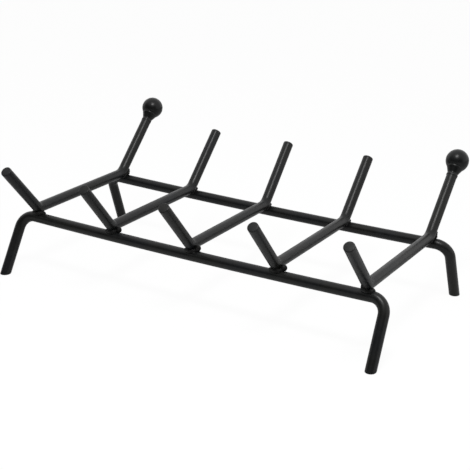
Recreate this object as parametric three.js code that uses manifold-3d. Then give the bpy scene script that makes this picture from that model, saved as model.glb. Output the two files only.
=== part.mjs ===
// Log grate for a fireplace, welded from round steel bar.
//
// Two rails run side by side along X. Each is one bar whose ends turn down into splayed legs.
// Five cradle bars lie across the rails. Each is one bar bent at both ends: a short front arm
// keeps the logs in, and a rear arm leans back. The two outer rear arms end in ball finials.
// A bead of weld on each side of every crossing holds the grate together.
//
// Units are millimetres and degrees. +Z is up, -Y is the front, and the origin is on the floor
// at the centre of the grate's bounding box.

import * as THREE from 'three';
import { mergeVertices } from 'three/addons/utils/BufferGeometryUtils.js';
import Module from 'manifold-3d';

const wasm = await Module();
wasm.setup();

// ---------------------------------------------------------------- driving dimensions

// Bar stock
const barDiameter = 12.7; // half-inch round bar, used for every rail and cradle bar
const edgeBreak = 0.9; // chamfer ground on every sawn end

// Rails and legs
const railLength = 483; // between the corners where a rail's ends turn down
const railSpacing = 181.5; // from the front rail's axis to the rear rail's axis
const frontRailHeight = 67.5; // rail axis above the floor, at its corners
const rearRailHeight = 70.8;
const railBow = 2.5; // the welds along the top draw the middle of each rail down
const railBendRadius = 17.3; // every bend radius is measured to the bar's axis
const frontLegAngle = 28; // how far the front legs lean forward from upright
const rearLegAngle = 23; // how far the rear legs lean back
const legFlareAngle = 1.8; // how far every leg leans sideways, away from the middle

// Cradle bars
const cradleBarCount = 5;
const outerBarInset = 22.5; // from a rail's corner in to the axis of the outermost cradle bar
const frontNest = 0.45; // how far the bed sinks below where it would lie flat on the front rail
const rearNest = 3.7; // the same at the rear rail, which its bend leans against
const frontBendRadius = 12;
const rearBendRadius = 19.2;
const frontArmAngle = 47.3; // rise of the front arm from the bed
const frontArmLength = 81.8; // from its corner to its tip
const rearArmAngle = 45.4;
const rearArmLength = 88.9;

// Ball finials on the two outer rear arms
const finialReach = 105.4; // from the rear corner to the middle of the ball
const ballDiameter = 27.8;
const neckLength = 20.6; // from the middle of the ball to the foot of its neck
const neckShoulder = 18.6; // diameter where the neck runs into the ball
const neckCollar = 2.4; // straight length at the foot of the neck
const neckHollow = 0.5; // how far the taper of the neck is drawn in
const neckEdgeBreak = 0.45;

// Weld beads
const weldGap = 0.3; // clearance between a bead and the bars that it joins
const seatGap = 0.3; // clearance between two bars, or a bar and a neck, that touch
const beadLength = 14; // along the cradle bar
const beadWidth = 8.8; // along the rail
const beadHeight = 8.6;
const beadOffset = 5.2; // from the cradle bar's axis to the middle of the bead
const collarBeadWidth = 3.8; // the bead round the joint of a neck and its arm
const collarBeadHeight = 0.9;

// Fineness of the curved surfaces
const barSides = 16;
const bendSteps = 8;
const longestRun = 60; // a bowed rail has a ring at least this often
const ballSides = 24;
const ballSteps = 6;
const beadSides = 12;
const beadRings = 6;
const collarBeadSteps = 3;

// ---------------------------------------------------------------- values that follow from them

const barRadius = barDiameter / 2;
const axisGap = barDiameter + seatGap; // between the axes of two bars that touch
const railRise = rearRailHeight - frontRailHeight;
const railDistance = Math.hypot(railSpacing, railRise);
const frontSeat = axisGap - frontNest; // the bed's axis above the front rail's axis
const rearSeat = axisGap - rearNest;
const cradleBarPitch = (railLength - 2 * outerBarInset) / (cradleBarCount - 1);
const railTilt = Math.atan2(railRise, railSpacing);
const bedTilt = railTilt - Math.asin((frontSeat - rearSeat) / railDistance);
const rearRailBehind = railDistance * Math.cos(railTilt - bedTilt); // measured along the bed
const frontArmTurn = THREE.MathUtils.degToRad(frontArmAngle);
const rearArmTurn = THREE.MathUtils.degToRad(rearArmAngle);

// The round of each bend lies against its rail. The touch angle is that of the point where they
// meet, from upright, and the corner is where the axes of the bed and the arm would cross.
const frontTouch = Math.acos((frontBendRadius + frontSeat) / (frontBendRadius + axisGap));
const rearTouch = Math.acos((rearBendRadius + rearSeat) / (rearBendRadius + axisGap));
const frontCorner = bendCorner(frontBendRadius, frontTouch, frontArmTurn);
const rearCorner = rearRailBehind - bendCorner(rearBendRadius, rearTouch, rearArmTurn);

// How far a bend's corner lies inside the axis of the rail that the bend touches.
function bendCorner(bendRadius, touchAngle, turn) {
  return (bendRadius + axisGap) * Math.sin(touchAngle) - bendRadius * Math.tan(turn / 2);
}

// ---------------------------------------------------------------- finish

function blackPaint(roughness) {
  return new THREE.MeshStandardMaterial({ color: 0x1f1f20, roughness, metalness: 0.2 });
}
const barFinish = blackPaint(0.55);
const weldFinish = blackPaint(0.75);
const finialFinish = blackPaint(0.45);

// ---------------------------------------------------------------- bent bars

// The axis of a bent bar: straight runs between corners, each rounded to its bend radius.
// Its stations lie at the cuts and round the bends, so that the straight runs cost few faces.
class BentAxis extends THREE.Curve {
  constructor(corners, bendRadii) {
    super();
    this.stations = [];
    const ends = corners.length - 1;
    const first = new THREE.Vector3().subVectors(corners[1], corners[0]).normalize();
    this.addStation(corners[0], first);
    this.addStation(corners[0].clone().addScaledVector(first, edgeBreak), first);
    for (let i = 1; i < ends; i += 1) {
      this.addBend(corners[i - 1], corners[i], corners[i + 1], bendRadii[i - 1]);
    }
    const last = new THREE.Vector3().subVectors(corners[ends], corners[ends - 1]).normalize();
    this.addRun(corners[ends].clone().addScaledVector(last, -edgeBreak), last);
    this.addStation(corners[ends], last);
  }

  addStation(point, tangent) {
    this.stations.push({ point: point.clone(), tangent: tangent.clone() });
  }

  // A straight run from the last station, split where it is long.
  addRun(point, tangent) {
    const start = this.stations[this.stations.length - 1].point;
    const pieces = Math.max(1, Math.ceil(start.distanceTo(point) / longestRun));
    for (let i = 1; i <= pieces; i += 1) {
      this.addStation(new THREE.Vector3().lerpVectors(start, point, i / pieces), tangent);
    }
  }

  addBend(before, corner, after, radius) {
    const arriving = new THREE.Vector3().subVectors(corner, before).normalize();
    const leaving = new THREE.Vector3().subVectors(after, corner).normalize();
    const turn = arriving.angleTo(leaving);
    const inward = leaving.clone().addScaledVector(arriving, -Math.cos(turn)).normalize();
    const start = corner.clone().addScaledVector(arriving, -radius * Math.tan(turn / 2));
    const centre = start.clone().addScaledVector(inward, radius);
    this.addRun(start, arriving);
    for (let i = 1; i <= bendSteps; i += 1) {
      const angle = (turn * i) / bendSteps;
      const point = centre.clone().addScaledVector(inward, -radius * Math.cos(angle));
      point.addScaledVector(arriving, radius * Math.sin(angle));
      const tangent = arriving.clone().multiplyScalar(Math.cos(angle));
      tangent.addScaledVector(inward, Math.sin(angle));
      this.addStation(point, tangent);
    }
  }

  station(u) {
    return this.stations[Math.round(u * (this.stations.length - 1))];
  }

  getPoint(u, target = new THREE.Vector3()) {
    return target.copy(this.station(u).point);
  }

  getPointAt(u, target) {
    return this.getPoint(u, target);
  }

  getTangentAt(u, target = new THREE.Vector3()) {
    return target.copy(this.station(u).tangent);
  }
}

function sweepBar(axis, radius) {
  const rim = [];
  for (let i = 0; i < barSides; i += 1) {
    const angle = (2 * Math.PI * i) / barSides;
    rim.push(new THREE.Vector2(radius * Math.cos(angle), radius * Math.sin(angle)));
  }
  const steps = axis.stations.length - 1;
  return new THREE.ExtrudeGeometry(new THREE.Shape(rim), { steps, extrudePath: axis });
}

// Cuts the end of a swept bar on the plane with this normal and breaks its edge. The last two
// rings slide along the bar on to planes parallel to the cut, and the last is drawn in.
function cutEnd(geometry, station, outward, cutNormal) {
  const position = geometry.attributes.position;
  const slope = outward.dot(cutNormal);
  const drawnIn = 1 - edgeBreak / barRadius;
  const nearRing = edgeBreak / 4;
  const vertex = new THREE.Vector3();
  const side = new THREE.Vector3();
  for (let i = 0; i < position.count; i += 1) {
    vertex.fromBufferAttribute(position, i);
    side.subVectors(vertex, station.point);
    const along = side.dot(outward);
    side.addScaledVector(outward, -along);
    const onLastRing = Math.abs(along) < nearRing;
    const onEdgeRing = Math.abs(along + edgeBreak) < nearRing;
    if (side.length() > barDiameter || !(onLastRing || onEdgeRing)) continue;
    if (onLastRing) side.multiplyScalar(drawnIn);
    const slide = (onLastRing ? 0 : -edgeBreak) - side.dot(cutNormal) / slope;
    vertex.copy(station.point).add(side).addScaledVector(outward, slide);
    position.setXYZ(i, vertex.x, vertex.y, vertex.z);
  }
}

function cutBothEnds(geometry, axis, startNormal, endNormal) {
  const start = axis.stations[0];
  const end = axis.stations[axis.stations.length - 1];
  const backward = start.tangent.clone().negate();
  cutEnd(geometry, start, backward, startNormal ?? backward);
  cutEnd(geometry, end, end.tangent, endNormal ?? end.tangent);
}

// ---------------------------------------------------------------- rails

function bowAt(x) {
  const fromMiddle = Math.min(1, Math.abs((2 * x) / railLength));
  return railBow * (1 - fromMiddle * fromMiddle);
}

// A rail's axis from its left foot, up the leg, along the rail and down to its right foot.
function railAxis(y, height, splay, towards) {
  const lean = towards * height * Math.tan(THREE.MathUtils.degToRad(splay));
  const flare = height * Math.tan(THREE.MathUtils.degToRad(legFlareAngle));
  const footReach = railLength / 2 + flare;
  const corners = [
    new THREE.Vector3(-footReach, y + lean, 0),
    new THREE.Vector3(-railLength / 2, y, height),
    new THREE.Vector3(railLength / 2, y, height),
    new THREE.Vector3(footReach, y + lean, 0),
  ];
  const axis = new BentAxis(corners, [railBendRadius, railBendRadius]);
  axis.stations.forEach((station) => {
    station.point.z -= bowAt(station.point.x);
  });
  return axis;
}

const frontRailAxis = railAxis(-railSpacing / 2, frontRailHeight, frontLegAngle, -1);
const rearRailAxis = railAxis(railSpacing / 2, rearRailHeight, rearLegAngle, 1);

function rail(name, axis) {
  const floorward = new THREE.Vector3(0, 0, -1);
  const geometry = sweepBar(axis, barRadius);
  cutBothEnds(geometry, axis, floorward, floorward);
  return namedMesh(name, geometry, barFinish);
}

// ---------------------------------------------------------------- cradle bars

// A point in the upright plane of a cradle bar: so far behind the front rail's axis along the
// bed, and so far above that axis square to the bed.
function onBed(x, behind, above) {
  const y = -railSpacing / 2 + behind * Math.cos(bedTilt) - above * Math.sin(bedTilt);
  const z = frontRailHeight + behind * Math.sin(bedTilt) + above * Math.cos(bedTilt);
  return new THREE.Vector3(x, y, z - bowAt(x));
}

function cradleBarX(index) {
  return cradleBarPitch * index - (railLength - 2 * outerBarInset) / 2;
}

function hasFinial(index) {
  return index === 0 || index === cradleBarCount - 1;
}

function frontArmPoint(x, distance) {
  const behind = frontCorner - distance * Math.cos(frontArmTurn);
  return onBed(x, behind, frontSeat + distance * Math.sin(frontArmTurn));
}

function rearArmPoint(x, distance) {
  const behind = rearCorner + distance * Math.cos(rearArmTurn);
  return onBed(x, behind, frontSeat + distance * Math.sin(rearArmTurn));
}

function cradleAxis(index) {
  const x = cradleBarX(index);
  const underFinial = finialReach - neckLength - seatGap;
  const corners = [
    frontArmPoint(x, frontArmLength),
    frontArmPoint(x, 0),
    rearArmPoint(x, 0),
    rearArmPoint(x, hasFinial(index) ? underFinial : rearArmLength),
  ];
  return new BentAxis(corners, [frontBendRadius, rearBendRadius]);
}

function cradleBar(index) {
  const axis = cradleAxis(index);
  const geometry = sweepBar(axis, barRadius);
  cutBothEnds(geometry, axis);
  return namedMesh(`cradle_bar_${index + 1}`, geometry, barFinish);
}

// ---------------------------------------------------------------- ball finials

// The finial's profile, from the foot of its neck to the pole of the ball, turned about Y.
function finialGeometry() {
  const ballRadius = ballDiameter / 2;
  const shoulder = neckShoulder / 2;
  const shoulderAngle = -Math.acos(shoulder / ballRadius);
  const shoulderHeight = ballRadius * Math.sin(shoulderAngle);
  const collarTop = -neckLength + neckCollar;
  const profile = new THREE.Path();
  profile.moveTo(0, -neckLength);
  profile.lineTo(barRadius - neckEdgeBreak, -neckLength);
  profile.lineTo(barRadius, -neckLength + neckEdgeBreak);
  profile.lineTo(barRadius, collarTop);
  // A quadratic curve goes half of the way to its control point.
  const controlRadius = (barRadius + shoulder) / 2 - 2 * neckHollow;
  const controlHeight = (collarTop + shoulderHeight) / 2;
  profile.quadraticCurveTo(controlRadius, controlHeight, shoulder, shoulderHeight);
  profile.absarc(0, 0, ballRadius, shoulderAngle, Math.PI / 2, false);
  const outline = profile.getPoints(ballSteps);
  outline[outline.length - 1].x = 0;
  return new THREE.LatheGeometry(outline, ballSides);
}

// The bead round the butt joint between the neck and its arm.
function collarBeadGeometry() {
  const bore = barRadius + weldGap;
  const ring = new THREE.Path();
  ring.moveTo(bore, -collarBeadWidth / 2);
  ring.absellipse(bore, 0, collarBeadHeight, collarBeadWidth / 2, -Math.PI / 2, Math.PI / 2, false);
  const outline = ring.getPoints(collarBeadSteps);
  outline.push(outline[0].clone());
  return new THREE.LatheGeometry(outline, barSides);
}

// Stands a turned piece on a rear arm, its own +Y along the arm.
function placeOnArm(mesh, x, distance) {
  const along = new THREE.Vector3().subVectors(rearArmPoint(x, 1), rearArmPoint(x, 0));
  mesh.quaternion.setFromUnitVectors(new THREE.Vector3(0, 1, 0), along.normalize());
  mesh.position.copy(rearArmPoint(x, distance));
  return mesh;
}

function finial(side, index) {
  const x = cradleBarX(index);
  const jointAt = finialReach - neckLength - seatGap / 2;
  const ball = namedMesh(`ball_finial_${side}`, finialGeometry(), finialFinish);
  const bead = namedMesh(`finial_weld_${side}`, collarBeadGeometry(), weldFinish);
  return [placeOnArm(ball, x, finialReach), placeOnArm(bead, x, jointAt)];
}

// ---------------------------------------------------------------- welds at the crossings

function solidFrom(geometry) {
  const bare = geometry.clone();
  bare.deleteAttribute('normal');
  bare.deleteAttribute('uv');
  const merged = mergeVertices(bare);
  const vertProperties = new Float32Array(merged.attributes.position.array);
  const triVerts = new Uint32Array(merged.index.array);
  return new wasm.Manifold(new wasm.Mesh({ numProp: 3, vertProperties, triVerts }));
}

function geometryFrom(solid) {
  const mesh = solid.getMesh();
  const geometry = new THREE.BufferGeometry();
  geometry.setAttribute('position', new THREE.BufferAttribute(mesh.vertProperties, 3));
  geometry.setIndex(new THREE.BufferAttribute(mesh.triVerts, 1));
  geometry.computeVertexNormals();
  return geometry;
}

// A blob of weld metal before the bars are taken out of it: a ball of diameter 1, stretched.
// Its length lies along the cradle bar where that touches the rail, lean away from level.
function beadBlob(centre, lean) {
  const blob = new THREE.SphereGeometry(1 / 2, beadSides, beadRings);
  blob.scale(beadWidth, beadLength, beadHeight);
  blob.rotateX(lean);
  blob.translate(centre.x, centre.y, centre.z);
  return solidFrom(blob);
}

// The two beads of one crossing lie in the notches left and right of the cradle bar.
function crossingWelds(name, touchPoint, lean, cutters) {
  return [['left', -1], ['right', 1]].map(([side, way]) => {
    const centre = touchPoint.clone();
    centre.x += way * beadOffset;
    const bead = cutters.reduce((rest, cutter) => rest.subtract(cutter), beadBlob(centre, lean));
    return namedMesh(`${name}_${side}`, geometryFrom(bead), weldFinish);
  });
}

function weldsOf(index, frontCutter, rearCutter) {
  const x = cradleBarX(index);
  const barCutter = solidFrom(sweepBar(cradleAxis(index), barRadius + weldGap));
  const out = axisGap / 2;
  const front = onBed(x, out * Math.sin(frontTouch), out * Math.cos(frontTouch));
  const rearRailAbove = frontSeat - rearSeat;
  const rearBehind = rearRailBehind - out * Math.sin(rearTouch);
  const rear = onBed(x, rearBehind, rearRailAbove + out * Math.cos(rearTouch));
  const number = index + 1;
  return [
    ...crossingWelds(`front_weld_${number}`, front, bedTilt - frontTouch, [frontCutter, barCutter]),
    ...crossingWelds(`rear_weld_${number}`, rear, bedTilt + rearTouch, [rearCutter, barCutter]),
  ];
}

// ---------------------------------------------------------------- assembly

function namedMesh(name, geometry, material) {
  const mesh = new THREE.Mesh(geometry, material);
  mesh.name = name;
  return mesh;
}

function buildGrate() {
  const grate = new THREE.Group();
  grate.add(rail('front_rail', frontRailAxis), rail('rear_rail', rearRailAxis));
  const frontCutter = solidFrom(sweepBar(frontRailAxis, barRadius + weldGap));
  const rearCutter = solidFrom(sweepBar(rearRailAxis, barRadius + weldGap));
  for (let index = 0; index < cradleBarCount; index += 1) {
    grate.add(cradleBar(index), ...weldsOf(index, frontCutter, rearCutter));
  }
  grate.add(...finial('left', 0), ...finial('right', cradleBarCount - 1));
  return grate;
}

// Puts the origin under the middle of the bounding box.
function centreOnFloor(grate) {
  const box = new THREE.Box3().setFromObject(grate, true);
  const middle = box.getCenter(new THREE.Vector3());
  grate.position.set(-middle.x, -middle.y, -box.min.z);
  return grate;
}

export default centreOnFloor(buildGrate());
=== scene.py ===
# Log grate of bent round steel bar, welded and painted black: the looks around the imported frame.
#
# Every rail and cradle bar is drawn as a ring of edges that is run along its straights and spun
# round its bends. The welds are puddles melted together, and the finials are turned profiles.
# Lengths are in metres. +Z is up, -Y is the front, and the floor is at zero.
import math
import random

import bpy
from mathutils import Matrix, Vector


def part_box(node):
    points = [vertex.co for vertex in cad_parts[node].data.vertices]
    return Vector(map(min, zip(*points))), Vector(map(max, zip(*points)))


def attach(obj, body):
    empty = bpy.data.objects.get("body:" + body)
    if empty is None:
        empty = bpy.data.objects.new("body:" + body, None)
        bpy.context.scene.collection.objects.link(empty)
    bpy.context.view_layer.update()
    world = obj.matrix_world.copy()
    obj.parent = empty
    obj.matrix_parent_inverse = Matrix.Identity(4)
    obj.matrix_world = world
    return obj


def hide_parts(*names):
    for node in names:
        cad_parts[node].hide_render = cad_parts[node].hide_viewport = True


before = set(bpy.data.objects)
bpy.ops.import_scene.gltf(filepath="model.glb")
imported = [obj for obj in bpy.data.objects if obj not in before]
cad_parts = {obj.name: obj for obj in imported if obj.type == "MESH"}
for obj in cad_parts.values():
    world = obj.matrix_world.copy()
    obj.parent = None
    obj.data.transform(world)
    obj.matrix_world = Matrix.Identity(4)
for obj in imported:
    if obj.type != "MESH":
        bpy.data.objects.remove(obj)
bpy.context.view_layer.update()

MM = 0.001

# ---------------------------------------------------------------- driving dimensions

# Bar stock
BAR_DIAMETER = 12.7 * MM
BAR_RADIUS = BAR_DIAMETER / 2
RIM_ROUND = 0.9 * MM          # edge broken on every sawn end of an arm
FOOT_ROUND = 0.7 * MM         # edge broken on every foot
TIP_SETBACK = 0.3 * MM        # arms stop this short: a round rim is fuller than the CAD's chamfer
BAR_SKIN_SIZE = 12 * MM       # flats and dents of rolled bar
BAR_SKIN_DEPTH = 0.08 * MM

# Rails
RAIL_LENGTH = 483 * MM        # between the corners where a rail's ends turn down
FRONT_RAIL_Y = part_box("front_rail")[1].y - BAR_RADIUS
REAR_RAIL_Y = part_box("rear_rail")[0].y + BAR_RADIUS
FRONT_RAIL_HEIGHT = 67.5 * MM
REAR_RAIL_HEIGHT = 70.8 * MM
RAIL_BOW = 2.5 * MM           # the welds draw the middle of each rail down
RAIL_BEND = 17.3 * MM         # every bend radius is measured to the bar's axis
FRONT_LEG_ANGLE = math.radians(28)
REAR_LEG_ANGLE = math.radians(23)
LEG_FLARE = math.radians(1.8)
BELOW_FLOOR = 8 * MM          # extra leg that the floor cut takes off again

# Cradle bars
BAR_COUNT = 5
BAR_PITCH = 109.5 * MM
FRONT_BEND = 12 * MM
REAR_BEND = 19.2 * MM
FRONT_ARM_ANGLE = math.radians(47.3)
FRONT_ARM_LENGTH = 81.8 * MM
REAR_ARM_ANGLE = math.radians(45.4)
REAR_ARM_LENGTH = 88.9 * MM
# The arms are bent by hand, and some tips stand off to a side or a little long.
FRONT_SWAY = {1: -0.6 * MM, 2: 1.9 * MM, 3: -0.8 * MM}
REAR_SWAY = {3: -2.8 * MM, 4: -1.0 * MM}
REAR_TIP_EXTRA = {3: 1.8 * MM, 4: 1.4 * MM}
SEAT_GAP = 0.3 * MM           # the CAD leaves this much between two bars that touch
FRONT_NEST = 0.45 * MM        # how far the bed sinks below where it would lie on the rail
REAR_NEST = 3.7 * MM          # the same at the rear, where the rail is taller
BED_HEIGHT = FRONT_RAIL_HEIGHT + BAR_DIAMETER + SEAT_GAP - FRONT_NEST

# Ball finials
FINIAL_REACH = 105.4 * MM     # from the rear corner to the middle of the ball
BALL_RADIUS = 27.8 / 2 * MM
NECK_LENGTH = 20.6 * MM
NECK_SHOULDER = 20.4 / 2 * MM  # radius where the neck meets the ball
NECK_COLLAR = 2.4 * MM        # straight part above the neck's foot
NECK_HOLLOW = 0.1 * MM        # how far the flare is drawn in half-way up
# The ball is welded on its neck, and the two leave a crease. Each of its rings lies this far
# below the shoulder and this far in.
NECK_CREASE = ((0.25 * MM, 0.75 * MM), (0.6 * MM, 0.85 * MM), (1.1 * MM, 0.75 * MM))
BALL_SKIN_SIZE = 6 * MM
BALL_SKIN_DEPTH = 0.10 * MM

# Collar beads between necks and arms
COLLAR_ROUND = 1.0 * MM
COLLAR_SINK = 0.25 * MM       # how far the middle of the bead lies under the bar's skin
COLLAR_STRETCH = 1.9          # length along the bar, as a share of the height
COLLAR_RIPPLES = 11           # short waves round the bead
COLLAR_RIPPLE = 0.25          # share by which they raise it
COLLAR_SWELLS = 4             # long waves
COLLAR_SWELL = 0.2

# Weld beads at the crossings
PUDDLES = 6                   # along a notch
NOTCH_RISE = 0.5 * MM         # middle of a notch, above the touch
NOTCH_ROUND = BAR_RADIUS + 2 * MM
CORE_RADIUS = 1.4 * MM        # the ball inside the bead that the puddles are added to
CORE_AWAY = 2.6 * MM
STRAY_ALONG = 0.3             # how far a puddle strays, in millimetres
STRAY_AWAY = 0.25
STRAY_OUT = 0.2
PUDDLE_SIZES = (0.92, 1.08)   # share of a puddle's radius
SETTLE_FACTOR = 0.5
SETTLE_ROUNDS = 5
SLAG_SIZE = 1.5 * MM          # roughness of the skin: how far across, and how deep
SEAM_SLAG = 0.35 * MM
HEAP_SLAG = 0.6 * MM
REAR_SLAG = 0.3 * MM
DROPLETS = 3                  # beside each heaped bead
DROPLET_LEANS = (-0.9, 0.5)   # radians from the top of the rail
DROPLET_REACH = (10, 15)      # millimetres from the middle of the cradle bar
DROPLET_SIZES = (0.35, 0.7)   # millimetres
DROPLET_SQUASH = 0.7
BEAD_SEEDS = {"front_left": 10, "front_right": 20, "rear_left": 30, "rear_right": 40}

# Fineness
BAR_SIDES = 48
RING_STEP = 1.8 * MM          # between two rings along a bar
LEAST_BEND_STEPS = 6
RIM_SEGMENTS = 3
MERGE_DISTANCE = 0.01 * MM    # vertices closer than this become one
NECK_STEPS = 12
BALL_SIDES = 64
COLLAR_SIDES = 72
COLLAR_FACETS = 16
PUDDLE_SIDES = 16
PUDDLE_RINGS = 10
VOXEL_SIZE = 0.32 * MM


def rail_bow(x):
    """How far the welds have drawn a rail, and what lies on it, down at this place."""
    from_middle = min(1.0, abs(2 * x / RAIL_LENGTH))
    return RAIL_BOW * (1 - from_middle ** 2)


def seat_bend(bend, nest, turn):
    """How far a bend's touch leans from upright, and how far its corner lies inside the rail."""
    reach = bend + BAR_DIAMETER + SEAT_GAP
    lean = math.acos((reach - nest) / reach)
    return lean, reach * math.sin(lean) - bend * math.tan(turn / 2)


FRONT_TOUCH, FRONT_INSET = seat_bend(FRONT_BEND, FRONT_NEST, FRONT_ARM_ANGLE)
REAR_TOUCH, REAR_INSET = seat_bend(REAR_BEND, REAR_NEST, REAR_ARM_ANGLE)
FRONT_CORNER_Y = FRONT_RAIL_Y + FRONT_INSET
REAR_CORNER_Y = REAR_RAIL_Y - REAR_INSET
TOUCH_REACH = (BAR_DIAMETER + SEAT_GAP) / 2


def bar_place(index):
    """The X of a cradle bar. They are numbered from 1 at the left."""
    return (index - (BAR_COUNT + 1) / 2) * BAR_PITCH


def is_outer(index):
    """Whether this cradle bar is the first or the last. These two carry finials."""
    return index in (1, BAR_COUNT)


# ---------------------------------------------------------------- colours and nodes

def paint_colour(code):
    """An sRGB hex colour as the linear RGBA that a socket takes."""
    channels = [int(code[i:i + 2], 16) / 255 for i in (1, 3, 5)]
    linear = [c / 12.92 if c <= 0.04045 else ((c + 0.055) / 1.055) ** 2.4 for c in channels]
    return (*linear, 1.0)


def add_node(tree, kind, sockets=None, **settings):
    """Adds one node. A socket takes a value, or the output that is linked to it."""
    made = tree.nodes.new(kind)
    for setting, value in settings.items():
        setattr(made, setting, value)
    for socket, value in (sockets or {}).items():
        if isinstance(value, bpy.types.NodeSocket):
            tree.links.new(value, made.inputs[socket])
        else:
            made.inputs[socket].default_value = value
    return made


def per_metre(size):
    """The scale of a noise whose lumps are this far across."""
    return 1 / size


# Inputs of a Mix node go by number, because each kind of value has its own pair.
MIX_FACTOR = 0
MIX_VALUES = (2, 3)
MIX_COLOURS = (6, 7)
MIX_COLOUR_OUTPUT = 2


def mixed_colour(tree, share, first, second):
    """The colour that lies this share of the way from the first to the second."""
    mix = add_node(tree, "ShaderNodeMix", {
        MIX_FACTOR: share, MIX_COLOURS[0]: first, MIX_COLOURS[1]: second}, data_type="RGBA")
    return mix.outputs[MIX_COLOUR_OUTPUT]


def patches(tree, place, size, detail, harshness, between, to=(0.0, 1.0)):
    """A level that goes from one value to the other in patches this far across. The noise that
    draws them keeps near its middle, so only what lies between these two levels is spread out."""
    noise = add_node(tree, "ShaderNodeTexNoise", {
        "Vector": place, "Scale": per_metre(size), "Detail": detail, "Roughness": harshness})
    level = add_node(tree, "ShaderNodeMapRange", {
        "Value": noise.outputs["Fac"], "From Min": between[0], "From Max": between[1],
        "To Min": to[0], "To Max": to[1]})
    return level.outputs["Result"]


DRIFT_SIZE = 38 * MM          # patches of a cooler and a warmer black
DRIFT_SHARE = 0.4             # of the tint in the colour
SHEEN_STRETCH = 1.7           # blotches of the sheen, as a share of those of the coat
PAINT_IOR = 1.5


def heat_paint(name, dark, light, cool, warm, roughness, grain, grain_depth, mottle, specular):
    """Black heat-resistant paint. The tint drifts, the sheen is blotchy, and the skin is uneven."""
    material = bpy.data.materials.new(name)
    material.use_nodes = True
    tree = material.node_tree
    tree.nodes.clear()
    place = add_node(tree, "ShaderNodeTexCoord").outputs["Object"]

    coat = patches(tree, place, mottle, detail=4.0, harshness=0.6, between=(0.35, 0.68))
    drift = patches(tree, place, DRIFT_SIZE, detail=2.0, harshness=0.5, between=(0.38, 0.62))
    sheen = patches(tree, place, mottle * SHEEN_STRETCH, detail=3.0, harshness=0.6,
                    between=(0.3, 0.7), to=roughness)
    shade = mixed_colour(tree, coat, paint_colour(dark), paint_colour(light))
    tint = mixed_colour(tree, drift, paint_colour(cool), paint_colour(warm))
    colour = mixed_colour(tree, DRIFT_SHARE, shade, tint)

    skin = add_node(tree, "ShaderNodeTexNoise", {
        "Vector": place, "Scale": per_metre(grain), "Detail": 3.0, "Roughness": 0.55})
    bump = add_node(tree, "ShaderNodeBump", {
        "Strength": 1.0, "Distance": grain_depth, "Height": skin.outputs["Fac"]})

    surface = add_node(tree, "ShaderNodeBsdfPrincipled", {
        "Base Color": colour, "Roughness": sheen, "Normal": bump.outputs["Normal"],
        "IOR": PAINT_IOR, "Specular IOR Level": specular})
    add_node(tree, "ShaderNodeOutputMaterial", {"Surface": surface.outputs["BSDF"]})
    return material


# ---------------------------------------------------------------- materials

# Satin high-heat enamel sprayed on hot-rolled round bar: near-black, with a narrow highlight that
# the uneven coat breaks up.
SPRAYED_BAR = heat_paint(
    "satin_heat_enamel_on_rolled_bar", dark="#0c0d0e", light="#181919", cool="#0e1116",
    warm="#16150f", roughness=(0.28, 0.39), grain=1.8 * MM, grain_depth=0.018 * MM,
    mottle=6 * MM, specular=0.28)

# The same enamel on the turned balls, whose smoother metal leaves it a little glossier.
SPRAYED_BALL = heat_paint(
    "satin_heat_enamel_on_turned_ball", dark="#090a0a", light="#131414", cool="#0b0d0f",
    warm="#11110c", roughness=(0.24, 0.36), grain=1.8 * MM, grain_depth=0.02 * MM,
    mottle=5 * MM, specular=0.28)

# The same enamel on raw weld metal, whose ripples and spatter scatter the light: dull and dark.
SPRAYED_WELD = heat_paint(
    "matte_heat_enamel_on_weld_bead", dark="#070707", light="#121212", cool="#0a0b0c",
    warm="#100f0d", roughness=(0.45, 0.7), grain=0.7 * MM, grain_depth=0.16 * MM,
    mottle=1.6 * MM, specular=0.17)

# The enamel on a lean seam, whose fine ripples it nearly fills: as light as the bars, but duller.
SPRAYED_SEAM = heat_paint(
    "satin_heat_enamel_on_weld_seam", dark="#0e0f0f", light="#1a1a19", cool="#101215",
    warm="#171610", roughness=(0.42, 0.6), grain=0.9 * MM, grain_depth=0.1 * MM,
    mottle=2.5 * MM, specular=0.3)

# Enamel on a sawn end, which keeps the fine scratches of the saw. Real ones are about 0.3 mm
# apart and are drawn 0.8 mm apart, so that they show.
SPRAYED_END = heat_paint(
    "heat_enamel_on_sawn_end", dark="#0f1010", light="#1b1c1b", cool="#121416",
    warm="#181713", roughness=(0.45, 0.6), grain=0.8 * MM, grain_depth=0.06 * MM,
    mottle=3 * MM, specular=0.3)


# ---------------------------------------------------------------- hand tools

def put_down():
    """Leaves edit mode with nothing selected."""
    if bpy.context.object and bpy.context.object.mode != "OBJECT":
        bpy.ops.object.mode_set(mode="OBJECT")
    bpy.ops.object.select_all(action="DESELECT")


def pick_up(piece):
    """Selects this piece alone."""
    put_down()
    piece.select_set(True)
    bpy.context.view_layer.objects.active = piece


def edit(kind="VERT"):
    """Enters edit mode, to select vertices, edges or faces."""
    bpy.ops.object.mode_set(mode="EDIT")
    bpy.ops.mesh.select_mode(type=kind)


def apply_place():
    """Moves a piece's place, turn and size into its mesh."""
    bpy.ops.object.transform_apply(location=True, rotation=True, scale=True)


def apply_all(piece, *modifiers):
    """Makes these modifiers part of the mesh."""
    pick_up(piece)
    for modifier in modifiers:
        bpy.ops.object.modifier_apply(modifier=modifier.name)


INWARD = 1.0                  # middle level of a skin that is only ever pushed in
BOTH_WAYS = 0.5


def roughen(piece, size, depth, mid_level, name):
    """Uneven skin in the mesh itself, this deep and with lumps this far across."""
    cloud = bpy.data.textures.new(name, "CLOUDS")
    cloud.noise_scale = size
    uneven = piece.modifiers.new(name, "DISPLACE")
    uneven.texture = cloud
    uneven.texture_coords = "LOCAL"
    uneven.strength = depth
    uneven.mid_level = mid_level
    apply_all(piece, uneven)


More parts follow.
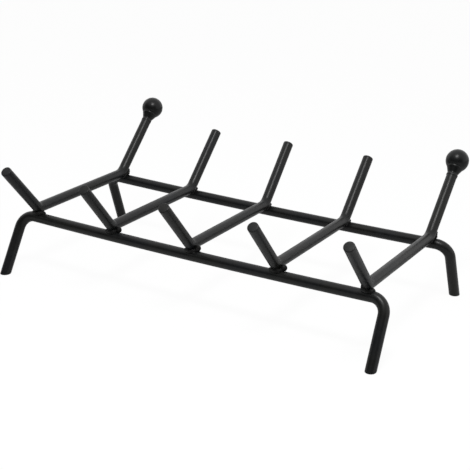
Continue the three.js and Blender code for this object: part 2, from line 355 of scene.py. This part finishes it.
def finish_piece(piece, name, slot, *nodes, smooth=40):
    """Names a piece and hides the nodes that it stands for. Creases under this many degrees shade
    smoothly."""
    pick_up(piece)
    apply_place()
    bpy.ops.object.shade_smooth_by_angle(angle=math.radians(smooth))
    piece.name = name
    piece.data.name = name
    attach(piece, "root")
    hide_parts(*nodes)
    put_down()


# ---------------------------------------------------------------- bent bars

def start_ring(at, along):
    """The open ring of edges that a bar is drawn from, square to its first run."""
    put_down()
    bpy.ops.mesh.primitive_circle_add(
        vertices=BAR_SIDES, radius=BAR_RADIUS, fill_type="NOTHING", location=at,
        rotation=along.to_track_quat("Z", "Y").to_euler())
    bar = bpy.context.object
    apply_place()
    edit("EDGE")
    bpy.ops.mesh.select_all(action="SELECT")
    return bar


def run_straight(start, end):
    """Draws the selected ring out along a straight."""
    steps = max(1, round((end - start).length / RING_STEP))
    bpy.ops.mesh.extrude_repeat(steps=steps, offset=(end - start) / steps)


def bend_bar(corners, bend_radii):
    """Draws one bar along its runs and round its bends."""
    along = (corners[1] - corners[0]).normalized()
    bar = start_ring(corners[0], along)
    here = corners[0]
    for corner, after, radius in zip(corners[1:], corners[2:], bend_radii):
        leaving = (after - corner).normalized()
        turn = along.angle(leaving)
        to_bend = corner - along * radius * math.tan(turn / 2)
        inward = (leaving - along * math.cos(turn)).normalized()
        run_straight(here, to_bend)
        # With no window, spin turns the other way about its axis.
        bpy.ops.mesh.spin(
            steps=max(LEAST_BEND_STEPS, round(radius * turn / RING_STEP)), angle=-turn,
            center=to_bend + inward * radius, axis=along.cross(leaving).normalized())
        here = corner + leaving * radius * math.tan(turn / 2)
        along = leaving
    run_straight(here, corners[-1])
    return bar


def is_sawn(face):
    """Only a sawn end has as many corners as the bar has sides."""
    return len(face.vertices) >= BAR_SIDES


def close_ends(bar, rim):
    """Fills both sawn ends, rounds their rims and paints the bar."""
    bpy.ops.mesh.select_all(action="SELECT")
    bpy.ops.mesh.remove_doubles(threshold=MERGE_DISTANCE)
    bpy.ops.mesh.fill_holes(sides=0)
    bpy.ops.mesh.normals_make_consistent(inside=False)
    bpy.ops.mesh.select_all(action="DESELECT")
    bpy.ops.object.mode_set(mode="OBJECT")
    for face in bar.data.polygons:
        face.select = is_sawn(face)
    edit("FACE")
    bpy.ops.mesh.bevel(offset=rim, segments=RIM_SEGMENTS, affect="EDGES")
    bpy.ops.mesh.select_all(action="DESELECT")
    bpy.ops.object.mode_set(mode="OBJECT")
    for paint in (SPRAYED_BAR, SPRAYED_END):
        bar.data.materials.append(paint)
    for face in bar.data.polygons:
        face.material_index = int(is_sawn(face))


def wobble(bar, name):
    """Rolled bar is never quite true: shallow flats and dents."""
    roughen(bar, BAR_SKIN_SIZE, BAR_SKIN_DEPTH, INWARD, name)


def make_rail(name, y, height, splay, towards):
    """A rail with a leg at each end, cut level with the floor and drawn down by its welds."""
    lean = towards * math.tan(splay)
    flare = math.tan(LEG_FLARE)
    half = RAIL_LENGTH / 2
    drop = height + BELOW_FLOOR
    corners = [
        Vector((-half - flare * drop, y + lean * drop, -BELOW_FLOOR)),
        Vector((-half, y, height)),
        Vector((half, y, height)),
        Vector((half + flare * drop, y + lean * drop, -BELOW_FLOOR)),
    ]
    rail = bend_bar(corners, [RAIL_BEND, RAIL_BEND])
    bpy.ops.mesh.select_all(action="SELECT")
    bpy.ops.mesh.bisect(plane_co=(0, 0, 0), plane_no=(0, 0, 1), clear_inner=True)
    close_ends(rail, FOOT_ROUND)
    for vertex in rail.data.vertices:
        vertex.co.z -= rail_bow(vertex.co.x)
    wobble(rail, name + "_skin")
    for vertex in rail.data.vertices:
        vertex.co.z = max(vertex.co.z, 0)
    finish_piece(rail, name + "_bar", "bar_paint", name)


def lean_arm(bar, corner_y, towards, run, sway):
    """Leans an arm sideways by this much at its tip, as hand-bent arms do. It runs this far from
    its corner, towards the front (-1) or the rear (1)."""
    for vertex in bar.data.vertices:
        out = (vertex.co.y - corner_y) * towards / run
        if out > 0:
            vertex.co.x += sway * out


def rear_arm_point(x, distance):
    """The place on a rear arm's axis this far out from the corner of its bend."""
    along = Vector((0, math.cos(REAR_ARM_ANGLE), math.sin(REAR_ARM_ANGLE)))
    return Vector((x, REAR_CORNER_Y, BED_HEIGHT - rail_bow(x))) + along * distance


def front_arm_point(x, distance):
    """The same on a front arm."""
    along = Vector((0, -math.cos(FRONT_ARM_ANGLE), math.sin(FRONT_ARM_ANGLE)))
    return Vector((x, FRONT_CORNER_Y, BED_HEIGHT - rail_bow(x))) + along * distance


def make_cradle_bar(index):
    """A bar bent up at the front and the rear. The outer two stop under their finials."""
    x = bar_place(index)
    if is_outer(index):
        reach = FINIAL_REACH - NECK_LENGTH - SEAT_GAP
    else:
        reach = REAR_ARM_LENGTH - TIP_SETBACK + REAR_TIP_EXTRA.get(index, 0)
    corners = [front_arm_point(x, FRONT_ARM_LENGTH - TIP_SETBACK), front_arm_point(x, 0),
               rear_arm_point(x, 0), rear_arm_point(x, reach)]
    bar = bend_bar(corners, [FRONT_BEND, REAR_BEND])
    close_ends(bar, RIM_ROUND)
    lean_arm(bar, FRONT_CORNER_Y, -1, FRONT_ARM_LENGTH * math.cos(FRONT_ARM_ANGLE),
             FRONT_SWAY.get(index, 0))
    lean_arm(bar, REAR_CORNER_Y, 1, REAR_ARM_LENGTH * math.cos(REAR_ARM_ANGLE),
             REAR_SWAY.get(index, 0))
    wobble(bar, f"cradle_bar_{index}_skin")
    finish_piece(bar, f"cradle_rod_{index}", "bar_paint", f"cradle_bar_{index}")


# ---------------------------------------------------------------- ball finials

def neck_rings():
    """Height and radius of each ring of the neck, from the ball down to the foot."""
    shoulder_height = -math.sqrt(BALL_RADIUS ** 2 - NECK_SHOULDER ** 2)
    collar_top = -NECK_LENGTH + NECK_COLLAR
    middle_radius = (BAR_RADIUS + NECK_SHOULDER) / 2 - 2 * NECK_HOLLOW
    middle_height = (collar_top + shoulder_height) / 2
    rings = [(shoulder_height - below, NECK_SHOULDER - inside) for below, inside in NECK_CREASE]
    # The crease takes the place of the first step of the flare.
    for i in range(2, NECK_STEPS + 1):
        t = i / NECK_STEPS
        radius = ((1 - t) ** 2 * NECK_SHOULDER + 2 * t * (1 - t) * middle_radius
                  + t ** 2 * BAR_RADIUS)
        height = ((1 - t) ** 2 * shoulder_height + 2 * t * (1 - t) * middle_height
                  + t ** 2 * collar_top)
        rings.append((height, radius))
    rings.append((-NECK_LENGTH, BAR_RADIUS))
    return shoulder_height, rings


def set_on_arm(piece, index, distance):
    """Lays an upright piece along a rear arm, this far out from the corner of its bend."""
    tilt = Matrix.Rotation(REAR_ARM_ANGLE - math.pi / 2, 4, "X")
    place = rear_arm_point(bar_place(index), distance)
    piece.matrix_world = Matrix.Translation(place) @ tilt
    apply_place()


def make_finial(side, index):
    """A ball whose lower pole is cut away and drawn out into a flared neck."""
    shoulder_height, rings = neck_rings()
    put_down()
    bpy.ops.mesh.primitive_uv_sphere_add(
        segments=BALL_SIDES, ring_count=BALL_SIDES // 2, radius=BALL_RADIUS)
    ball = bpy.context.object
    edit("EDGE")
    bpy.ops.mesh.select_all(action="SELECT")
    bpy.ops.mesh.bisect(plane_co=(0, 0, shoulder_height), plane_no=(0, 0, 1), clear_inner=True)
    height, radius = shoulder_height, NECK_SHOULDER
    for next_height, next_radius in rings:
        scale = next_radius / radius
        bpy.ops.mesh.extrude_region_move(
            TRANSFORM_OT_translate={"value": (0, 0, next_height - height)})
        bpy.ops.transform.resize(
            value=(scale, scale, 1), center_override=(0, 0, next_height))
        height, radius = next_height, next_radius
    bpy.ops.mesh.edge_face_add()
    bpy.ops.mesh.select_all(action="SELECT")
    bpy.ops.mesh.normals_make_consistent(inside=False)
    bpy.ops.mesh.select_all(action="DESELECT")
    bpy.ops.object.mode_set(mode="OBJECT")
    set_on_arm(ball, index, FINIAL_REACH)
    roughen(ball, BALL_SKIN_SIZE, BALL_SKIN_DEPTH, INWARD, f"finial_{side}_skin")
    ball.data.materials.append(SPRAYED_BALL)
    finish_piece(ball, f"ball_{side}", "finial_paint", f"ball_finial_{side}", smooth=50)


def make_collar(side, index, stand):
    """The bead that closes the joint between a neck and its arm. It is dressed down until only
    this share of it stands proud of the bar."""
    put_down()
    bpy.ops.mesh.primitive_torus_add(
        major_segments=COLLAR_SIDES, minor_segments=COLLAR_FACETS,
        major_radius=BAR_RADIUS - COLLAR_SINK, minor_radius=COLLAR_ROUND)
    collar = bpy.context.object
    edit()
    bpy.ops.mesh.select_all(action="SELECT")
    bpy.ops.transform.resize(value=(1, 1, COLLAR_STRETCH), center_override=(0, 0, 0))
    bpy.ops.object.mode_set(mode="OBJECT")
    for vertex in collar.data.vertices:
        turn = math.atan2(vertex.co.y, vertex.co.x)
        reach = math.hypot(vertex.co.x, vertex.co.y)
        proud = reach - BAR_RADIUS
        if proud > 0:
            ripple = (1 + COLLAR_RIPPLE * math.sin(COLLAR_RIPPLES * turn)
                      + COLLAR_SWELL * math.sin(COLLAR_SWELLS * turn + 1))
            scale = (BAR_RADIUS + proud * (stand * ripple)) / reach
            vertex.co.x *= scale
            vertex.co.y *= scale
    set_on_arm(collar, index, FINIAL_REACH - NECK_LENGTH - SEAT_GAP / 2)
    collar.data.materials.append(SPRAYED_BAR)
    finish_piece(collar, f"neck_bead_{side}", "weld_paint", f"finial_weld_{side}", smooth=60)


# ---------------------------------------------------------------- welds at the crossings

def touch_point(row, x):
    """Where a cradle bar bears on a rail, and the directions along the bar and out of the rail."""
    if row == "front":
        rail_y, height, lean = FRONT_RAIL_Y, FRONT_RAIL_HEIGHT, FRONT_TOUCH
    else:
        rail_y, height, lean = REAR_RAIL_Y, REAR_RAIL_HEIGHT, -REAR_TOUCH
    out = Vector((0, math.sin(lean), math.cos(lean)))
    along = Vector((0, math.cos(lean), -math.sin(lean)))
    axis = Vector((x, rail_y, height - rail_bow(x)))
    return axis + out * TOUCH_REACH, along, out


def notch_run(start, end, away, radius):
    """Puddles laid along the notch beside a bar, which falls away with the round of the rail."""
    run = []
    for i in range(PUDDLES):
        along = start + (end - start) * i / (PUDDLES - 1)
        drop = along ** 2 / (2 * NOTCH_ROUND)
        run.append((away, along, NOTCH_RISE - drop, radius))
    return run


def in_millimetres(*puddles):
    """Puddles that are given in millimetres, in metres."""
    return [tuple(length * MM for length in puddle) for puddle in puddles]


def melted_ball(centre, radius, squash=1.0):
    """Adds one more ball of metal to the bead that is being edited."""
    bpy.ops.mesh.primitive_uv_sphere_add(
        segments=PUDDLE_SIDES, ring_count=PUDDLE_RINGS, radius=1, location=centre,
        scale=(radius, radius, radius * squash))


def spatter(dice, touch, way, count):
    """Droplets that stuck to the top of the rail beside the weld."""
    for _ in range(count):
        lean = dice.uniform(*DROPLET_LEANS)
        skin = Vector((0, math.sin(lean), math.cos(lean))) * BAR_RADIUS
        beside = Vector((way * dice.uniform(*DROPLET_REACH) * MM, 0, -TOUCH_REACH))
        melted_ball(touch + beside + skin, dice.uniform(*DROPLET_SIZES) * MM,
                    squash=DROPLET_SQUASH)


def weld_bead(row, index, side, puddles, paint, slag, droplets=0):
    """One bead: overlapping puddles, each (away from the bar, along it, out of the rail, radius),
    melted together and left rough."""
    dice = random.Random(BEAD_SEEDS[f"{row}_{side}"] + index)
    touch, along, out = touch_point(row, bar_place(index))
    way = -1 if side == "left" else 1
    put_down()
    bpy.ops.mesh.primitive_uv_sphere_add(
        segments=PUDDLE_SIDES, ring_count=PUDDLE_RINGS, radius=CORE_RADIUS,
        location=touch + Vector((way * CORE_AWAY, 0, 0)))
    bead = bpy.context.object
    edit()
    for away, reach, height, radius in puddles:
        centre = touch + along * (reach + dice.uniform(-STRAY_ALONG, STRAY_ALONG) * MM)
        centre += Vector((way * (away + dice.uniform(-STRAY_AWAY, STRAY_AWAY) * MM), 0, 0))
        centre += out * (height + dice.uniform(-STRAY_OUT, STRAY_OUT) * MM)
        melted_ball(centre, radius * dice.uniform(*PUDDLE_SIZES))
    spatter(dice, touch, way, droplets)
    bpy.ops.object.mode_set(mode="OBJECT")
    melt = bead.modifiers.new("melt", "REMESH")
    melt.mode = "VOXEL"
    melt.voxel_size = VOXEL_SIZE
    settle = bead.modifiers.new("settle", "SMOOTH")
    settle.factor = SETTLE_FACTOR
    settle.iterations = SETTLE_ROUNDS
    apply_all(bead, melt, settle)
    roughen(bead, SLAG_SIZE, slag, BOTH_WAYS, f"{row}_{index}_{side}_slag")
    bead.data.materials.append(paint)
    finish_piece(bead, f"bead_{row}_{index}_{side}", "weld_paint",
                 f"{row}_weld_{index}_{side}", smooth=180)


# ---------------------------------------------------------------- the grate

make_rail("front_rail", FRONT_RAIL_Y, FRONT_RAIL_HEIGHT, FRONT_LEG_ANGLE, -1)
make_rail("rear_rail", REAR_RAIL_Y, REAR_RAIL_HEIGHT, REAR_LEG_ANGLE, 1)
for number in range(1, BAR_COUNT + 1):
    make_cradle_bar(number)

make_finial("left", 1)
make_finial("right", BAR_COUNT)
make_collar("left", 1, stand=0.35)
make_collar("right", BAR_COUNT, stand=0.5)

# The weld closes the front of each joint, under the bend, and runs back along both notches.
FRONT_CAP = in_millimetres(
    (0.5, -5.5, -0.3, 2.7), (2.4, -5.4, -0.2, 2.7), (4.1, -4.9, 0.0, 2.4))
LEAN = notch_run(-4.2 * MM, 4.6 * MM, away=4.2 * MM, radius=2.0 * MM) + FRONT_CAP
FILLET = notch_run(-5 * MM, 5 * MM, away=4.3 * MM, radius=2.2 * MM) + FRONT_CAP
FILLET += in_millimetres((5.6, 0.4, -1.0, 1.1), (5.4, 2.6, -1.5, 1.1))
HEAP_ROOT = notch_run(-4 * MM, 4.6 * MM, away=4.9 * MM, radius=2.5 * MM) + FRONT_CAP
HEAP_ROOT += in_millimetres((6.9, 0.2, 1.6, 2.7))

# The welder ended the middle three right-hand beads in a lump on top of the rail.
LUMPS = {
    2: in_millimetres((8.5, 0.9, 2.8, 3.3), (8.0, 2.6, 1.6, 2.6)),
    3: in_millimetres((8.4, 0.9, 3.4, 3.6), (8.2, 0.4, 1.4, 3.1), (6.4, -4.1, -2.6, 2.3)),
    4: in_millimetres((8.7, 0.9, 3.1, 3.6)),
}
# The last left-hand bead climbs the side of the bar.
CLIMB = in_millimetres((5.3, -4.5, 2.6, 1.8), (5.3, -4.9, 4.4, 1.5))

# At the rear the weld lies behind the touch, under the bend, and is heaped on the outer bars.
REAR_LEFT = notch_run(-4 * MM, 6 * MM, away=3.6 * MM, radius=1.6 * MM)
REAR_RIGHT = notch_run(-3 * MM, 5 * MM, away=3.4 * MM, radius=1.5 * MM)
REAR_RIGHT += in_millimetres((3.2, 4.6, -0.9, 1.8), (2.8, 6.0, -1.2, 1.8))
REAR_HEAP = in_millimetres((4.0, 5.6, -0.6, 2.5), (3.9, 7.6, 0.8, 2.3), (3.7, 9.4, 2.4, 1.9))

for number in range(1, BAR_COUNT + 1):
    climb = CLIMB if number == BAR_COUNT else []
    weld_bead("front", number, "left", LEAN + climb, SPRAYED_SEAM, SEAM_SLAG)
    if is_outer(number):
        weld_bead("front", number, "right", FILLET, SPRAYED_WELD, HEAP_SLAG)
    else:
        weld_bead("front", number, "right", HEAP_ROOT + LUMPS[number], SPRAYED_WELD, HEAP_SLAG,
                  droplets=DROPLETS)
    rear_heap = REAR_HEAP if is_outer(number) else []
    weld_bead("rear", number, "left", REAR_LEFT, SPRAYED_SEAM, SEAM_SLAG)
    weld_bead("rear", number, "right", REAR_RIGHT + rear_heap, SPRAYED_SEAM, REAR_SLAG)


# ---------------------------------------------------------------- floor, light and camera

# Share of the plain diffuse floor, with its shadow, in the white that the camera sees
FLOOR_SHADOW = 0.10
FLOOR_COLOUR = "#ececec"
FLOOR_SIZE = 14
FLOOR_DROP = 0.2 * MM         # keeps the feet's faces clear of the floor's
BACKDROP_LEVEL = 1.045        # just past white, so that no grey is left in the backdrop
WORLD_LEVEL = 0.42            # grey of the studio that lights the grate
FRONT_LEVEL = 0.12            # the unlit room behind the camera, as it shines in the paint
# Parts of a direction between which the room goes from lit to unlit
LIT_TO_FRONT = (-0.05, -0.45)     # along Y
LIT_TO_LOW = (0.9, 0.4)           # along Z
SOFTBOX_SIZE = 0.4
SOFTBOX_DISTANCE = 1.6
SOFTBOX_POWER = 10.0
SOFTBOX_DIRECTION = Vector((0.20, -0.37, 0.91))


def seen_directly(tree, path):
    """1 for the rays that should meet the white backdrop, and 0 for the ones that light."""
    camera_or_clear = add_node(tree, "ShaderNodeMath", {
        0: path.outputs["Is Camera Ray"], 1: path.outputs["Is Transmission Ray"]},
        operation="MAXIMUM")
    return camera_or_clear.outputs[0]


def make_floor():
    """A white floor. The camera sees a flat white in it, with a trace of the grate's shadow."""
    put_down()
    bpy.ops.mesh.primitive_plane_add(size=FLOOR_SIZE, location=(0, 0, -FLOOR_DROP))
    floor = bpy.context.object
    apply_place()
    floor.name = "studio_floor"
    material = bpy.data.materials.new("matte_white_studio_floor")
    material.use_nodes = True
    tree = material.node_tree
    tree.nodes.clear()
    direct = seen_directly(tree, add_node(tree, "ShaderNodeLightPath"))
    lit = add_node(tree, "ShaderNodeBsdfDiffuse", {"Color": paint_colour(FLOOR_COLOUR)})
    white = add_node(tree, "ShaderNodeEmission", {
        "Color": paint_colour("#ffffff"), "Strength": BACKDROP_LEVEL})
    share = add_node(tree, "ShaderNodeMath", {0: direct, 1: 1 - FLOOR_SHADOW},
                     operation="MULTIPLY")
    shown = add_node(tree, "ShaderNodeMixShader", {
        0: share.outputs[0], 1: lit.outputs[0], 2: white.outputs[0]})
    add_node(tree, "ShaderNodeOutputMaterial", {"Surface": shown.outputs[0]})
    floor.data.materials.append(material)


def make_studio():
    """A white backdrop for the camera and a grey room for the light. Only reflections in the paint
    see that the room is dark low down in front of the grate."""
    world = bpy.data.worlds.new("pale_studio")
    bpy.context.scene.world = world
    world.use_nodes = True
    tree = world.node_tree
    tree.nodes.clear()
    path = add_node(tree, "ShaderNodeLightPath")
    toward = add_node(tree, "ShaderNodeSeparateXYZ", {
        "Vector": add_node(tree, "ShaderNodeTexCoord").outputs["Generated"]})
    in_front = add_node(tree, "ShaderNodeMapRange", {
        "Value": toward.outputs["Y"],
        "From Min": LIT_TO_FRONT[0], "From Max": LIT_TO_FRONT[1]})
    low_down = add_node(tree, "ShaderNodeMapRange", {
        "Value": toward.outputs["Z"], "From Min": LIT_TO_LOW[0], "From Max": LIT_TO_LOW[1]})
    unlit = add_node(tree, "ShaderNodeMath", {
        0: in_front.outputs["Result"], 1: low_down.outputs["Result"]}, operation="MULTIPLY")
    room = add_node(tree, "ShaderNodeMapRange", {
        "Value": unlit.outputs[0], "To Min": 1.0, "To Max": FRONT_LEVEL})

    backdrop = add_node(tree, "ShaderNodeMapRange", {
        "Value": seen_directly(tree, path), "To Min": WORLD_LEVEL, "To Max": 1.0})
    level = add_node(tree, "ShaderNodeMix", {
        MIX_FACTOR: path.outputs["Is Glossy Ray"], MIX_VALUES[0]: backdrop.outputs["Result"],
        MIX_VALUES[1]: room.outputs["Result"]})
    back = add_node(tree, "ShaderNodeBackground", {
        "Color": paint_colour("#ffffff"), "Strength": level.outputs[0]})
    add_node(tree, "ShaderNodeOutputWorld", {"Surface": back.outputs[0]})


def make_softbox():
    """The lamp that draws the narrow highlight along the bars."""
    lamp = bpy.data.lights.new("softbox", "AREA")
    lamp.shape = "SQUARE"
    lamp.size = SOFTBOX_SIZE
    lamp.energy = SOFTBOX_POWER
    softbox = bpy.data.objects.new("softbox", lamp)
    bpy.context.collection.objects.link(softbox)
    direction = SOFTBOX_DIRECTION.normalized()
    softbox.location = direction * SOFTBOX_DISTANCE
    softbox.rotation_euler = direction.to_track_quat("Z", "Y").to_euler()


# The camera stands where the photo was taken from, as fitted to the bars' outline in the photo.
PHOTO_WIDTH = 470             # pixels
FOCAL_PIXELS = 1186.7         # focal length in the photo's pixels
SENSOR_WIDTH = 36.0
CAMERA_AZIMUTH = math.radians(29.514)
CAMERA_ELEVATION = math.radians(20.002)
CAMERA_ROLL = math.radians(1.709)
CAMERA_DISTANCE = 1469.6 * MM
CAMERA_TARGET = Vector((-16.843, 29.761, 46.624)) * MM


def make_camera():
    """The camera, turned from its three fitted angles."""
    back = Vector((math.sin(CAMERA_AZIMUTH) * math.cos(CAMERA_ELEVATION),
                   -math.cos(CAMERA_AZIMUTH) * math.cos(CAMERA_ELEVATION),
                   math.sin(CAMERA_ELEVATION)))
    right = Vector((0, 0, 1)).cross(back).normalized()
    up = back.cross(right)
    rolled_right = right * math.cos(CAMERA_ROLL) + up * math.sin(CAMERA_ROLL)
    rolled_up = up * math.cos(CAMERA_ROLL) - right * math.sin(CAMERA_ROLL)
    lens = bpy.data.cameras.new("photo_camera")
    lens.sensor_width = SENSOR_WIDTH
    lens.lens = SENSOR_WIDTH * FOCAL_PIXELS / PHOTO_WIDTH
    camera = bpy.data.objects.new("photo_camera", lens)
    bpy.context.collection.objects.link(camera)
    turn = Matrix((rolled_right, rolled_up, back)).transposed()
    place = CAMERA_TARGET + back * CAMERA_DISTANCE
    camera.matrix_world = Matrix.Translation(place) @ turn.to_4x4()
    bpy.context.scene.camera = camera


make_floor()
make_studio()
make_softbox()
make_camera()
bpy.context.scene.view_settings.view_transform = "Standard"
